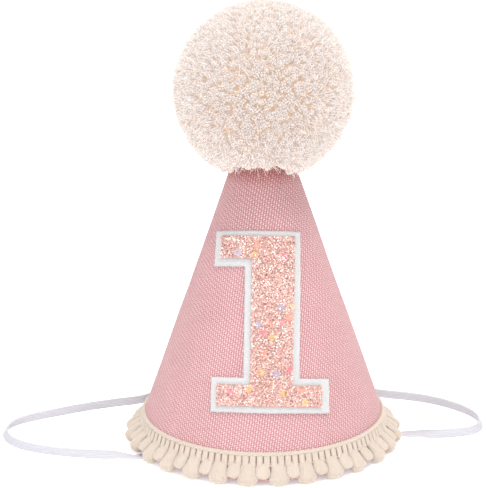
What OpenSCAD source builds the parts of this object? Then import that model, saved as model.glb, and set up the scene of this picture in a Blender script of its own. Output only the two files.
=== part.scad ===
// A small cone party hat for a toddler: a card cone covered in pink linen, with a felt and glitter
// numeral on its front, a yarn pom-pom tied on its tip, a pom-pom trim round its hem and a flat
// elastic chin strap. +Z is up, the cone's axis is the Z axis, the hat stands on z = 0 on the
// trim's large pom-poms, and the numeral faces -Y. Millimetres.

/* [Cone] */
// Radius of the cloth at the hem
hem_r = 51; // [46:0.5:58]
// Height of the hem above the table, where the trim's pom-poms carry it
hem_z = 2; // [1.8:0.1:2.4]
// Height at which the cone's sides would meet
apex_z = 149.5; // [140:0.5:165]
// Height at which the tip is cut open for the tie cord
tip_z = 132; // [130:0.5:133]
// Thickness of the linen cover
cloth_t = 0.6; // [0.4:0.05:0.8]
// Thickness of the card cone
card_t = 0.8; // [0.6:0.05:1]
// Thickness of the cotton lining
lining_t = 0.6; // [0.4:0.05:0.8]
// Height up to which the cover's hem is turned in over the card
hem_turn_z = 12; // [9:0.5:15]

/* [Numeral] */
// Distance from the cone's apex, along its side, to the top of the felt numeral
numeral_top = 59.6; // [56:0.1:62]
// Height of the felt numeral
numeral_h = 70.7; // [64:0.1:74]
// Thickness of the white felt backing
felt_t = 1.6; // [1.2:0.1:2.4]
// Thickness of the glitter sheet
glitter_t = 0.9; // [0.6:0.1:1.2]
// Clockwise lean of the numeral, in degrees
numeral_lean = 1; // [-2:0.1:2]
// Width across the corners of one confetti flake
flake_w = 3.2; // [2:0.1:3.4]
// Thickness of one confetti flake
flake_t = 0.2; // [0.15:0.05:0.3]

/* [Pom-pom] */
// Diameter of the yarn ball on the tip
ball_d = 71; // [64:0.5:74]
// Height of the yarn ball's centre
ball_z = 144.5; // [143:0.5:146]
// Height of the ball's underside, where its yarn is cut flat round the cone
ball_foot_z = 117; // [116:0.5:120]
// Height of the knot on which the ball rocks
knot_z = 120.5; // [119:0.5:122]
// Gap between the yarn ball and the linen, for the ball to rock in
ball_gap = 3; // [2.8:0.1:4]

/* [Trim] */
// Number of large pom-poms round the hem, with one small tuft between each two
trim_units = 28; // [26:2:30]
// Number of upright bars in the header for each large pom-pom
bars_per_unit = 4; // [3:1:4]
// Width of a large pom-pom along the hem
bobble_w = 7; // [6.4:0.1:7.2]
// Half the height and half the depth of a large pom-pom
bobble_r = 2.6; // [2.4:0.1:3]
// Height of the header's top cord
header_top_z = 11.6; // [11.2:0.1:12.6]
// Height of the thread under the header's bars
header_low_z = 7.4; // [7:0.1:7.8]

/* [Strap] */
// Width of the elastic
strap_w = 3.6; // [3:0.1:4]
// Thickness of the elastic
strap_t = 0.8; // [0.6:0.05:1]

/* [Hidden] */
$fn = 96;

// The cone's slope, and the sine and cosine of its half angle
slope = hem_r / (apex_z - hem_z);
half = atan(slope);
wall_inner = cloth_t + card_t + lining_t;
clear = 0.05;

// Radius of the cone at height z, on a surface that lies inset millimetres inside the linen
function cone_r(z, inset = 0) = slope * (apex_z - z) - inset / cos(half);

// A conical shell between two heights and two insets
module shell(z0, z1, inset0, inset1) {
    rotate_extrude()
        polygon([
            [cone_r(z0, inset0), z0], [cone_r(z1, inset0), z1],
            [cone_r(z1, inset1), z1], [cone_r(z0, inset1), z0]
        ]);
}

// ---- Cone ----

// The linen goes round the outside, under the card's edge and up its inside
module fabric_cover() {
    in1 = cloth_t + card_t;
    in2 = in1 + cloth_t;
    edge_z = hem_z + cloth_t;
    color("pink")
        rotate_extrude()
            polygon([
                [cone_r(hem_z), hem_z], [cone_r(tip_z), tip_z],
                [cone_r(tip_z, cloth_t), tip_z], [cone_r(edge_z, cloth_t), edge_z],
                [cone_r(edge_z, in1), edge_z], [cone_r(hem_turn_z, in1), hem_turn_z],
                [cone_r(hem_turn_z, in2), hem_turn_z], [cone_r(hem_z, in2), hem_z]
            ]);
}

module stiffener_cone() {
    color("burlywood") shell(hem_z + cloth_t, tip_z, cloth_t, cloth_t + card_t);
}

// The lining stops under the washer
lining_top_z = knot_z + 2;
module lining_cone() {
    color("white") shell(hem_turn_z, lining_top_z, cloth_t + card_t, wall_inner);
}

// ---- Numeral, cut flat and wrapped round the cone ----
// A flat point is [across, distance down from the apex]

stem_left = -7.3;
stem_right = 14.4;
flag_left = -20.8;
flag_h = 14;
base_left = -20.3;
base_right = 27.3;
base_h = 13.6;
// The glitter numeral's edges, each its own distance inside the felt's
face_top = 2.1;
face_bottom = 2.6;
face_stem = [2.8, 3.1];
face_flag = [4, 3.1];
face_base = [2.9, 3.9, 2.7];
cell_across = 2.7;
cell_down = 5;

function lean_flat(p) =
    let (c = [(stem_left + stem_right) / 2, numeral_top + numeral_h / 2], d = p - c)
    c + [d[0] * cos(numeral_lean) - d[1] * sin(numeral_lean),
         d[0] * sin(numeral_lean) + d[1] * cos(numeral_lean)];

function wrap_angle(p) = atan2(p[0], p[1]) / sin(half);

// A flat point put on the cone, lifted off the linen by lift
function wrap(p, lift) =
    let (along = norm(p), a = wrap_angle(p), r = along * sin(half) + lift * cos(half))
    [r * sin(a), -r * cos(a), apex_z - along * cos(half) + lift * sin(half)];

// Even steps from a up to b, without b
function steps(a, b, size) = let (n = ceil((b - a) / size)) [for (i = [0:n - 1]) a + (b - a) * i / n];

// A numeral one as a slab between two lifts. Its stem and base are each a pair of side edges, its
// flag ends at flag_x on the left and flag_y below, and its base starts at base_y
module wrapped_one(top, bottom, stem, flag_x, flag_y, base, base_y, low, high) {
    left = min(flag_x, base[0]);
    xs = concat(steps(left, stem[0], cell_across), steps(stem[0], stem[1], cell_across),
                steps(stem[1], base[1], cell_across), [base[1]]);
    ys = concat(steps(top, flag_y, cell_down), steps(flag_y, base_y, cell_down),
                steps(base_y, bottom, cell_down), [bottom]);
    nx = len(xs);
    ny = len(ys);
    // The flag and the base each end at their own left edge
    function edge_x(i, y) = i > 0 ? xs[i] : y <= flag_y ? flag_x : base[0];
    // Whether the cell between columns i and i + 1 and rows j and j + 1 is part of the numeral
    function filled(i, j) =
        i >= 0 && j >= 0 && i < nx - 1 && j < ny - 1
        && (let (x = (xs[i] + xs[i + 1]) / 2, y = (ys[j] + ys[j + 1]) / 2)
            (x > stem[0] && x < stem[1]) || (y < flag_y && x < stem[1]) || y > base_y);
    function id(i, j, k) = (i * ny + j) * 2 + k;
    points = [for (i = [0:nx - 1], j = [0:ny - 1], lift = [low, high])
        wrap(lean_flat([edge_x(i, ys[j]), ys[j]]), lift)];
    faces = [for (i = [0:nx - 2], j = [0:ny - 2]) if (filled(i, j)) each concat(
        [[id(i, j, 1), id(i + 1, j, 1), id(i + 1, j + 1, 1)],
         [id(i, j, 1), id(i + 1, j + 1, 1), id(i, j + 1, 1)],
         [id(i, j, 0), id(i + 1, j + 1, 0), id(i + 1, j, 0)],
         [id(i, j, 0), id(i, j + 1, 0), id(i + 1, j + 1, 0)]],
        filled(i - 1, j) ? [] : [[id(i, j, 0), id(i, j, 1), id(i, j + 1, 1)],
                                 [id(i, j, 0), id(i, j + 1, 1), id(i, j + 1, 0)]],
        filled(i + 1, j) ? [] : [[id(i + 1, j, 0), id(i + 1, j + 1, 1), id(i + 1, j, 1)],
                                 [id(i + 1, j, 0), id(i + 1, j + 1, 0), id(i + 1, j + 1, 1)]],
        filled(i, j - 1) ? [] : [[id(i, j, 0), id(i + 1, j, 1), id(i, j, 1)],
                                 [id(i, j, 0), id(i + 1, j, 0), id(i + 1, j, 1)]],
        filled(i, j + 1) ? [] : [[id(i, j + 1, 0), id(i, j + 1, 1), id(i + 1, j + 1, 1)],
                                 [id(i, j + 1, 0), id(i + 1, j + 1, 1), id(i + 1, j + 1, 0)]])];
    polyhedron(points, faces, convexity = 6);
}

numeral_bottom = numeral_top + numeral_h;
felt_lift = 2 * clear;
glitter_lift = felt_lift + felt_t + clear;
flake_lift = glitter_lift + glitter_t + clear;

module number_backing() {
    color("white")
        wrapped_one(numeral_top, numeral_bottom, [stem_left, stem_right],
                    flag_left, numeral_top + flag_h,
                    [base_left, base_right], numeral_bottom - base_h,
                    felt_lift, felt_lift + felt_t);
}

module number_face() {
    color("peachpuff")
        wrapped_one(numeral_top + face_top, numeral_bottom - face_bottom,
                    [stem_left + face_stem[0], stem_right - face_stem[1]],
                    flag_left + face_flag[0], numeral_top + flag_h - face_flag[1],
                    [base_left + face_base[0], base_right - face_base[1]],
                    numeral_bottom - base_h + face_base[2],
                    glitter_lift, glitter_lift + glitter_t);
}

// Confetti flakes lie on the glitter, each turned its own way: flat points of each colour
gold_flakes = [[-3.5, 69], [10, 89], [3.5, 101], [-0.5, 114.5], [-5, 121], [8, 122.5], [16, 126]];
coral_flakes = [[-2.5, 65.5], [9.5, 93], [2.5, 96], [0, 107], [15, 121.5]];
pink_flakes = [[7, 69.5], [6.5, 95], [0, 99.5], [9.5, 113.5], [-11.5, 122]];
lilac_flakes = [[-9.5, 68.5], [6.5, 89.5], [-1.5, 96], [5, 115]];

module flakes(places) {
    for (p = places) {
        q = lean_flat(p);
        a = wrap_angle(q);
        translate(wrap(q, flake_lift))
            rotate([0, 0, a])
                rotate([90 - half, 0, 0])
                    rotate([0, 0, 37 * p[1]])
                        cylinder(h = flake_t, d = flake_w, $fn = 6);
    }
}
module confetti_gold() { color("gold") flakes(gold_flakes); }
module confetti_coral() { color("coral") flakes(coral_flakes); }
module confetti_pink() { color("hotpink") flakes(pink_flakes); }
module confetti_lilac() { color("plum") flakes(lilac_flakes); }

// ---- Pom-pom on the tip, and its tie ----
// The tie cord hangs the ball from a knot under a washer, inside the tip, and the ball rocks on
// that knot. The cord's two yarns end in tails below the knot.

cord_r = 1;
knot_r = 2.8;
binding_r = 5;
binding_h = 5;
washer_t = 1.2;
washer_hole_r = 2.4;
washer_z = knot_z + knot_r + 0.3;
tail_l = 16;
cord_foot_z = knot_z + knot_r + 0.4;
binding_z = ball_z - binding_h / 2;

module pompom_yarn() {
    color("ivory")
        difference() {
            translate([0, 0, ball_z]) sphere(d = ball_d, $fn = 128);
            // Flat underside
            translate([0, 0, ball_z - ball_d]) cylinder(h = ball_foot_z - ball_z + ball_d, r = ball_d);
            // Seat on the cone, a steady gap outside the linen
            rotate_extrude()
                polygon([
                    [0, ball_z - ball_d], [cone_r(ball_z - ball_d, -ball_gap), ball_z - ball_d],
                    [cone_r(tip_z + ball_gap, -ball_gap), tip_z + ball_gap], [0, tip_z + ball_gap]
                ]);
            cylinder(h = ball_z, r = cord_r);
            translate([0, 0, binding_z]) cylinder(h = binding_h, r = binding_r);
        }
}

module pompom_binding() {
    color("ivory") translate([0, 0, binding_z]) cylinder(h = binding_h, r = binding_r);
}

module tie_cord() {
    color("ivory") translate([0, 0, cord_foot_z]) cylinder(h = binding_z - cord_foot_z, r = cord_r);
}

module tie_washer() {
    color("white")
        difference() {
            translate([0, 0, washer_z])
                cylinder(h = washer_t, r = cone_r(washer_z + washer_t, cloth_t + card_t) - clear);
            cylinder(h = apex_z, r = washer_hole_r);
        }
}

module tie_knot() {
    color("ivory") translate([0, 0, knot_z]) sphere(r = knot_r);
}

module tie_tails() {
    color("ivory")
        difference() {
            for (side = [-1, 1])
                translate([side * 1.4, 0, knot_z])
                    rotate([0, side * 7, 180])
                        translate([0, 0, -tail_l])
                            cylinder(h = tail_l, r = 0.9);
            translate([0, 0, knot_z]) sphere(r = knot_r);
        }
}

// ---- Trim round the hem ----

bars = trim_units * bars_per_unit;
top_cord_r = 0.65;
low_thread_r = 0.5;
bar_r = 1.05;
neck_r = 1.9;
neck_lift = neck_r + clear;
bobble_lift = bobble_r + clear;
// Depth by which a large pom-pom's ball is flattened where it stands
bobble_flat = 0.25;

// A ring of round thread lying on the linen at height z
module thread_ring(z, r) {
    rotate_extrude() translate([cone_r(z, -r - clear), z]) circle(r = r, $fn = 24);
}

// Its children repeated round the cone, each standing at the angle of one unit
module round_the_hem(count, offset = 0) {
    for (i = [0:count - 1]) rotate([0, 0, 360 * (i + offset) / count]) children();
}

// A tapered rod between two points given as [height, lift off the linen]
module rod(from, to, r_from, r_to) {
    a = [cone_r(from[0], -from[1]), from[0]];
    b = [cone_r(to[0], -to[1]), to[0]];
    d = b - a;
    translate([a[0], 0, a[1]])
        rotate([0, atan2(d[0], d[1]), 0])
            cylinder(h = norm(d), r1 = r_from, r2 = r_to, $fn = 24);
}

module trim_top_cord() { color("antiquewhite") thread_ring(header_top_z, top_cord_r); }

module trim_cross_thread() { color("antiquewhite") thread_ring(header_low_z, low_thread_r); }

// Each bar's lower end is square to the cone's side, so its inner edge is its lowest point
module trim_bars() {
    lift = bar_r + clear;
    foot_z = header_low_z + low_thread_r + bar_r * sin(half) + clear;
    color("antiquewhite")
        round_the_hem(bars, 0.5)
            rod([foot_z, lift], [header_top_z - top_cord_r - 0.1, lift], bar_r, bar_r);
}

// A ball of yarn, wider than it is high, that stands on the table on the flat end of its cut yarn,
// with its neck running up under the header
module trim_large_pompoms() {
    ball_h = bobble_r - bobble_flat;
    reach = bobble_w / 2 - bobble_r;
    color("antiquewhite")
        round_the_hem(trim_units, 0.5)
            difference() {
                union() {
                    translate([cone_r(ball_h, -bobble_lift), 0, ball_h]) {
                        for (side = [-1, 1])
                            translate([0, side * reach, 0]) sphere(r = bobble_r, $fn = 32);
                        rotate([90, 0, 0])
                            cylinder(h = 2 * reach, r = bobble_r, center = true, $fn = 32);
                    }
                    rod([ball_h, bobble_lift], [header_low_z - low_thread_r - 0.3, neck_lift],
                        neck_r, neck_r);
                }
                translate([cone_r(ball_h, -bobble_lift), 0, -bobble_r])
                    cylinder(h = bobble_r, r = bobble_w);
            }
}

// A fan of cut yarn, wide at its lower end
module trim_small_tufts() {
    color("antiquewhite")
        round_the_hem(trim_units)
            rod([3.4, 2.2], [header_low_z - low_thread_r - 0.3, 1.1], 2.1, 0.9);
}

// ---- Chin strap ----
// The elastic lies on its edge on the table, in a loop behind the hat. Each end turns flat, passes
// under the hem between two large pom-poms, and climbs the inside of the cone to a tab.

left_end_angle = -154.3;
right_end_angle = 0;
// Each end's climb as [radius, height], from the tab down to the gap under the hem
strap_climb = [[41.4, 22], [42.3, 19.4], [43.4, 16], [44.3, 13], [44.8, 10], [44.9, 7],
               [45.4, 4.6], [46.7, 2.6], [48.6, 1.3], [50.4, 0.8], [52.5, 0.6], [57, 0.7]];
// The loop as [x, y, height, turn]. Turn 0 would stand the elastic upright on its edge, and turn 90
// would lay it flat: it leans in over the loop
strap_loop = [
    [-58, -24.8, 1.5, 60], [-64, -24.8, 1.8, 38], [-71, -24.2, 1.95, 24], [-79, -22.7, 1.95, 16],
    [-87, -20.4, 1.95, 15], [-94.5, -17, 1.95, 22], [-101, -11.5, 1.85, 34],
    [-104.8, -4, 1.75, 42], [-105, 3.5, 1.75, 42], [-101.5, 10, 1.85, 34], [-94, 15.8, 1.95, 22],
    [-85, 20.8, 1.95, 15], [-74.5, 26.3, 1.95, 15], [-63, 31, 1.95, 15], [-52, 35, 1.95, 15],
    [-44.5, 41.5, 1.95, 15], [-36, 49, 1.95, 15], [-25, 55.5, 1.95, 15], [-12, 59.6, 1.95, 15],
    [2, 61, 1.95, 15], [16, 58.8, 1.95, 15], [28.5, 53.8, 1.95, 15], [39.5, 47.2, 1.95, 15],
    [50, 42, 1.95, 15], [61, 38.8, 1.95, 15], [70.5, 34.8, 1.95, 15], [78.5, 29, 1.95, 18],
    [85.5, 21.5, 1.9, 26], [89.2, 14, 1.8, 38], [89.2, 6.5, 1.75, 42], [86, 1.2, 1.85, 32],
    [80, -1.7, 1.95, 22], [72, -3, 1.85, 32], [64, -2.3, 1.6, 60]
];

function climb_point(p, angle) = [p[0] * cos(angle), p[0] * sin(angle), p[1], 90];
climb_last = len(strap_climb) - 1;
strap_route = concat(
    [for (p = strap_climb) climb_point(p, left_end_angle)],
    strap_loop,
    [for (i = [climb_last:-1:0]) climb_point(strap_climb[i], right_end_angle)]);

// A point on the smooth curve through the route, at part u of the stretch after point i
function smooth(i, u) =
    let (n = len(strap_route) - 1,
         p0 = strap_route[max(i - 1, 0)], p1 = strap_route[i],
         p2 = strap_route[i + 1], p3 = strap_route[min(i + 2, n)])
    0.5 * (2 * p1 + (p2 - p0) * u + (2 * p0 - 5 * p1 + 4 * p2 - p3) * u * u
           + (3 * p1 - p0 - 3 * p2 + p3) * u * u * u);

function unit(v) = v / norm(v);
function place(p) = [p[0], p[1], p[2]];

// The long stretches of the loop take a ring half way between points as well
module elastic_strap() {
    last = len(strap_route) - 1;
    in_loop = function(i) i >= climb_last && i < last - climb_last;
    rings = concat([for (i = [0:last - 1], u = in_loop(i) ? [0, 0.5] : [0]) smooth(i, u)],
                   [strap_route[last]]);
    n = len(rings);
    w = strap_w / 2;
    t = strap_t / 2;
    section = [[w, t / 2], [w - t, t], [t - w, t], [-w, t / 2],
               [-w, -t / 2], [t - w, -t], [w - t, -t], [w, -t / 2]];
    points = [for (k = [0:n - 1])
        let (along = unit(place(rings[min(k + 1, n - 1)]) - place(rings[max(k - 1, 0)])),
             side = unit(cross(along, [0, 0, 1])),
             up = cross(side, along),
             turn = rings[k][3],
             wide = up * cos(turn) + side * sin(turn),
             thin = side * cos(turn) - up * sin(turn))
        for (s = section) place(rings[k]) + wide * s[0] + thin * s[1]];
    sides = [for (k = [0:n - 2], j = [0:7])
        let (a = k * 8 + j, b = k * 8 + (j + 1) % 8)
        each [[a, b, b + 8], [a, b + 8, a + 8]]];
    color("ghostwhite")
        polyhedron(points,
                   concat(sides, [[for (j = [7:-1:0]) j]], [[for (j = [0:7]) (n - 1) * 8 + j]]),
                   convexity = 10);
}

// Tabs of felt glued over the elastic's ends, each held by a crossed tack of thread
tab_w = 10;
tab_h = 9;
tab_t = 0.8;
tab_z = 19;
tab_lift = strap_t + 0.25;
tack_l = 5;
tack_r = 0.3;

// Puts its children on the cone's inner face at an angle and height, with +Z out of the wall
module on_inner_wall(angle, z, lift) {
    rotate([0, 0, angle])
        translate([cone_r(z, wall_inner + lift), 0, z])
            rotate([0, -90 - half, 0])
                children();
}

module strap_tab(angle) {
    color("white")
        on_inner_wall(angle, tab_z, tab_lift)
            translate([-tab_h / 2, -tab_w / 2, 0]) cube([tab_h, tab_w, tab_t]);
}

module strap_tack(angle) {
    color("ghostwhite")
        on_inner_wall(angle, tab_z, tab_lift + tab_t + tack_r)
            for (lean = [-40, 40])
                rotate([90, 0, lean]) cylinder(h = tack_l, r = tack_r, center = true);
}

module strap_tab_left() { strap_tab(left_end_angle); }
module strap_tab_right() { strap_tab(right_end_angle); }
module strap_tack_left() { strap_tack(left_end_angle); }
module strap_tack_right() { strap_tack(right_end_angle); }

fabric_cover();
stiffener_cone();
lining_cone();
number_backing();
number_face();
confetti_gold();
confetti_coral();
confetti_pink();
confetti_lilac();
pompom_yarn();
pompom_binding();
tie_cord();
tie_washer();
tie_knot();
tie_tails();
trim_top_cord();
trim_bars();
trim_cross_thread();
trim_large_pompoms();
trim_small_tufts();
elastic_strap();
strap_tab_left();
strap_tab_right();
strap_tack_left();
strap_tack_right();
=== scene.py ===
"""The party hat's looks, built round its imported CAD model.

Lengths in this script are millimetres until a mesh is made, and each mesh is in metres, as the
frame is. The cone's cloth, felt and glitter are laid out flat first, as [across, down from the
apex], and then wrapped round the cone.
"""

import math

import bpy
import numpy as np
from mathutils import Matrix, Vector


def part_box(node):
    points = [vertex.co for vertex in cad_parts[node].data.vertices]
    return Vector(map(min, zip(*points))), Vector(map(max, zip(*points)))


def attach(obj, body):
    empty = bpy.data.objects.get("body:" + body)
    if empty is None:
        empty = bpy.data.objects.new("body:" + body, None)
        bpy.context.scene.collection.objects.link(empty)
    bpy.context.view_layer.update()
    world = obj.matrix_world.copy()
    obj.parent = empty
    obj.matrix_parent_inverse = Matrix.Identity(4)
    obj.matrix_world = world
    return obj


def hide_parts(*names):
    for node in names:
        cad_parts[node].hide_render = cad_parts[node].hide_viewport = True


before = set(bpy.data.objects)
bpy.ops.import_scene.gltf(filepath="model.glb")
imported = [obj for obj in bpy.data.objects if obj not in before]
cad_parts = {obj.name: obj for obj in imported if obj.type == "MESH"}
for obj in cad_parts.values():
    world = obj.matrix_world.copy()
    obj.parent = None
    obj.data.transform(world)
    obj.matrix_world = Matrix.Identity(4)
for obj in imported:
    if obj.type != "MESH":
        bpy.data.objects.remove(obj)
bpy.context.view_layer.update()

MM = 0.001
BODY = "hat"
BALL_BODY = "pompom"


# ---- Sizes, read from the frame ----

def node_points(node):
    """The node's vertices in millimetres."""
    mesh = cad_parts[node].data
    co = np.empty(len(mesh.vertices) * 3)
    mesh.vertices.foreach_get("co", co)
    return co.reshape(-1, 3) / MM


def node_box(node):
    low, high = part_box(node)
    return np.array(low) / MM, np.array(high) / MM


def radius_near(node, height):
    """The largest radius of the node's points within a tenth of a millimetre of a height."""
    points = node_points(node)
    near = points[np.abs(points[:, 2] - height) < 0.1]
    return float(np.hypot(near[:, 0], near[:, 1]).max())


HEM_Z, TIP_Z = (corner[2] for corner in node_box("fabric_cover"))
HEM_R = radius_near("fabric_cover", HEM_Z)
TIP_R = radius_near("fabric_cover", TIP_Z)
SLOPE = (HEM_R - TIP_R) / (TIP_Z - HEM_Z)
APEX_Z = HEM_Z + HEM_R / SLOPE
HALF = math.atan(SLOPE)
SIN_HALF = math.sin(HALF)
COS_HALF = math.cos(HALF)

CLOTH_T = 0.6
CARD_T = 0.8
LINING_LOW_Z, LINING_TOP_Z = (corner[2] for corner in node_box("lining_cone"))

BALL_LOW, BALL_HIGH = node_box("pompom_yarn")
BALL_R = (BALL_HIGH[0] - BALL_LOW[0]) / 2
BALL_Z = BALL_HIGH[2] - BALL_R
BALL_GAP = 3.0
ROCK_Z = 121.0
ROCK_ROOM = 0.22

HEADER_TOP_Z = float(np.mean(node_box("trim_top_cord"), 0)[2])
HEADER_LOW_Z = float(np.mean(node_box("trim_cross_thread"), 0)[2])
TRIM_UNITS = 28
BARS = 4 * TRIM_UNITS


# ---- Meshes from arrays ----

def ring_angles(count, offset=0.0):
    return (np.arange(count) + offset) * 2 * np.pi / count


def make_mesh(name, points, quads=None, triangles=None, smooth=True, floats=None, vectors=None):
    """An object from an array of points in millimetres and arrays of corner indices. floats and
    vectors are named values for each point, which the materials read."""
    quads = np.zeros((0, 4), np.int32) if quads is None else np.asarray(quads, np.int32)
    triangles = np.zeros((0, 3), np.int32) if triangles is None else np.asarray(triangles, np.int32)
    mesh = bpy.data.meshes.new(name)
    mesh.vertices.add(len(points))
    mesh.vertices.foreach_set("co", (np.asarray(points, float) * MM).ravel())
    loops = np.concatenate([quads.ravel(), triangles.ravel()])
    mesh.loops.add(len(loops))
    mesh.loops.foreach_set("vertex_index", loops)
    count = len(quads) + len(triangles)
    starts = np.concatenate([np.arange(len(quads)) * 4, len(quads) * 4 + np.arange(len(triangles)) * 3])
    mesh.polygons.add(count)
    mesh.polygons.foreach_set("loop_start", starts)
    mesh.polygons.foreach_set("use_smooth", np.full(count, smooth))
    for key, values in (floats or {}).items():
        mesh.attributes.new(key, "FLOAT", "POINT").data.foreach_set("value", np.asarray(values, float))
    for key, values in (vectors or {}).items():
        layer = mesh.attributes.new(key, "FLOAT_VECTOR", "POINT")
        layer.data.foreach_set("vector", np.asarray(values, float).ravel())
    mesh.update(calc_edges=True)
    mesh.validate()
    obj = bpy.data.objects.new(name, mesh)
    bpy.context.scene.collection.objects.link(obj)
    return obj


def unit(v):
    return v / np.maximum(np.linalg.norm(v, axis=-1, keepdims=True), 1e-9)


def tube_frames(lines):
    """Two directions across each line at each of its points. lines is (lines, points, 3)."""
    along = unit(np.gradient(lines, axis=1))
    helper = np.where(np.abs(along[:, :1, 2:3]) < 0.9, [[[0.0, 0.0, 1.0]]], [[[1.0, 0.0, 0.0]]])
    first = unit(np.cross(along, np.broadcast_to(helper, along.shape)))
    second = np.cross(along, first)
    return first, second


def capped_rings(rings, ends):
    """Closed skins over stacks of rings, as (points, quads, triangles). rings is (pieces, rows,
    columns, 3), and ends has the two points that close each piece."""
    n, rows, columns, _ = rings.shape
    size = rows * columns
    points = np.concatenate([rings.reshape(n, size, 3), ends], 1).reshape(-1, 3)
    j = np.arange(columns)
    after = (j + 1) % columns
    last = size - columns
    first_cap = np.stack([np.full(columns, size), after, j], -1)
    last_cap = np.stack([np.full(columns, size + 1), last + j, last + after], -1)
    start = (np.arange(n) * (size + 2))[:, None, None]
    quads = grid_quads(rows, columns, closed=True)[:, ::-1] + start
    caps = np.concatenate([first_cap, last_cap]) + start
    return points, quads.reshape(-1, 4), caps.reshape(-1, 3)


def tubes(lines, radii, sides, floats=None):
    """Closed tubes along many lines of the same number of points, as (points, quads, triangles,
    floats). radii is (lines, points); each float is (lines, points) or (lines,)."""
    n, m, _ = lines.shape
    first, second = tube_frames(lines)
    turn = ring_angles(sides)
    ring = (first[:, :, None] * np.cos(turn)[:, None] + second[:, :, None] * np.sin(turn)[:, None])
    rings = lines[:, :, None] + ring * radii[:, :, None, None]
    ends = lines[:, [0, -1]] + unit(np.gradient(lines, axis=1))[:, [0, -1]] * (
        radii[:, [0, -1], None] * np.array([-0.5, 0.5])[:, None])
    spread = {}
    for key, value in (floats or {}).items():
        value = np.broadcast_to(value[:, None] if value.ndim == 1 else value, (n, m))
        spread[key] = np.concatenate([np.repeat(value, sides, 1), value[:, [0, -1]]], 1).ravel()
    return (*capped_rings(rings, ends), spread)


def make_joined(name, parts):
    """One object from several (points, quads, triangles, floats)."""
    shift = np.cumsum([0] + [len(part[0]) for part in parts[:-1]])
    points = np.concatenate([part[0] for part in parts])
    quads = np.concatenate([part[1] + s for part, s in zip(parts, shift)])
    triangles = np.concatenate([part[2] + s for part, s in zip(parts, shift)])
    floats = {key: np.concatenate([part[3][key] for part in parts]) for key in parts[0][3]}
    return make_mesh(name, points, quads, triangles, floats=floats)


def grid_quads(rows, columns, closed=False):
    """Corner indices of a grid of rows by columns of points, joined round if closed."""
    i, j = np.meshgrid(np.arange(rows - 1), np.arange(columns if closed else columns - 1), indexing="ij")
    a, b = i * columns + j, i * columns + (j + 1) % columns
    return np.stack([a, a + columns, b + columns, b], -1).reshape(-1, 4)


def section_quads(rows, columns):
    """Corner indices of a closed section of rows points that is swept round the axis."""
    first = np.arange(columns)
    last = first + (rows - 1) * columns
    close = np.stack([last, first, np.roll(first, -1), np.roll(last, -1)], -1)
    return np.concatenate([grid_quads(rows, columns, closed=True), close])


def value_noise(points, scale, seed):
    """Smooth noise from -1 to 1 at each point, with features about scale millimetres wide."""
    rng = np.random.default_rng(seed)
    table = rng.uniform(-1, 1, 4096)
    p = np.asarray(points) / scale + 1000
    cell = np.floor(p).astype(int)
    f = p - cell
    f = f * f * (3 - 2 * f)
    total = 0
    for corner in np.ndindex(2, 2, 2):
        c = cell + np.array(corner)
        key = (c[..., 0] * 73856093 ^ c[..., 1] * 19349663 ^ c[..., 2] * 83492791) % 4096
        weight = np.prod(np.where(np.array(corner) == 1, f, 1 - f), -1)
        total = total + table[key] * weight
    return total


def vector_noise(points, scale, seed):
    return np.stack([value_noise(points, scale, seed + k) for k in range(3)], -1)


# ---- The cone ----

def cone_r(z, lift=0.0):
    """The linen's radius at height z, or that of a surface lifted off it."""
    return SLOPE * (APEX_Z - z) + lift / COS_HALF


def wrap(flat, lift):
    """Flat points put on the cone, lifted off the linen by lift."""
    flat = np.asarray(flat, float)
    along = np.linalg.norm(flat, axis=-1)
    angle = np.arctan2(flat[..., 0], flat[..., 1]) / SIN_HALF
    r = along * SIN_HALF + lift * COS_HALF
    return np.stack([r * np.sin(angle), -r * np.cos(angle),
                     APEX_Z - along * COS_HALF + lift * SIN_HALF], -1)


def on_cone(angle, z, lift):
    """Points at an angle about the axis, with 0 towards +X, at height z and lifted off the linen."""
    r = cone_r(z, lift)
    return np.stack(np.broadcast_arrays(r * np.cos(angle), r * np.sin(angle), z), -1)


# ---- Materials ----

def add(tree, kind, settings=None, **inputs):
    """A node with its settings, and its inputs set or linked by name, with _ for a space."""
    made = tree.nodes.new(kind)
    for key, value in (settings or {}).items():
        setattr(made, key, value)
    for key, value in inputs.items():
        socket = made.inputs[int(key[1:])] if key[0] == "i" and key[1:].isdigit() else (
            made.inputs[key.replace("_", " ")])
        if isinstance(value, bpy.types.NodeSocket):
            tree.links.new(value, socket)
        else:
            socket.default_value = value
    return made


def maths(tree, operation, a, b=0.0, c=0.0):
    return add(tree, "ShaderNodeMath", {"operation": operation}, i0=a, i1=b, i2=c).outputs[0]


def vector_maths(tree, operation, output, *values):
    sockets = {f"i{k}": value for k, value in enumerate(values)}
    return add(tree, "ShaderNodeVectorMath", {"operation": operation}, **sockets).outputs[output]


def ramp(tree, value, stops):
    """A colour ramp of (place, colour) stops."""
    made = add(tree, "ShaderNodeValToRGB", Fac=value)
    ends = made.color_ramp.elements
    for i, (place, colour) in enumerate(stops):
        stop = ends[i] if i < 2 else ends.new(place)
        stop.position = place
        stop.color = (*colour, 1)
    return made.outputs[0]


def mix(tree, factor, a, b, blend="MIX"):
    made = add(tree, "ShaderNodeMix", {"data_type": "RGBA", "blend_type": blend})
    for index, value in ((0, factor), (6, a), (7, b)):
        if isinstance(value, bpy.types.NodeSocket):
            tree.links.new(value, made.inputs[index])
        else:
            made.inputs[index].default_value = value if index == 0 else (*value, 1)
    return made.outputs[2]


def material(name, **plain):
    """A new material with one Principled shader, and that shader's plain values."""
    made = bpy.data.materials.new(name)
    made.use_nodes = True
    shader = made.node_tree.nodes["Principled BSDF"]
    for key, value in plain.items():
        shader.inputs[key.replace("_", " ")].default_value = value
    return made, made.node_tree, shader


def paint(tree, shader, value, socket="Base Color"):
    tree.links.new(value, shader.inputs[socket])


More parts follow.
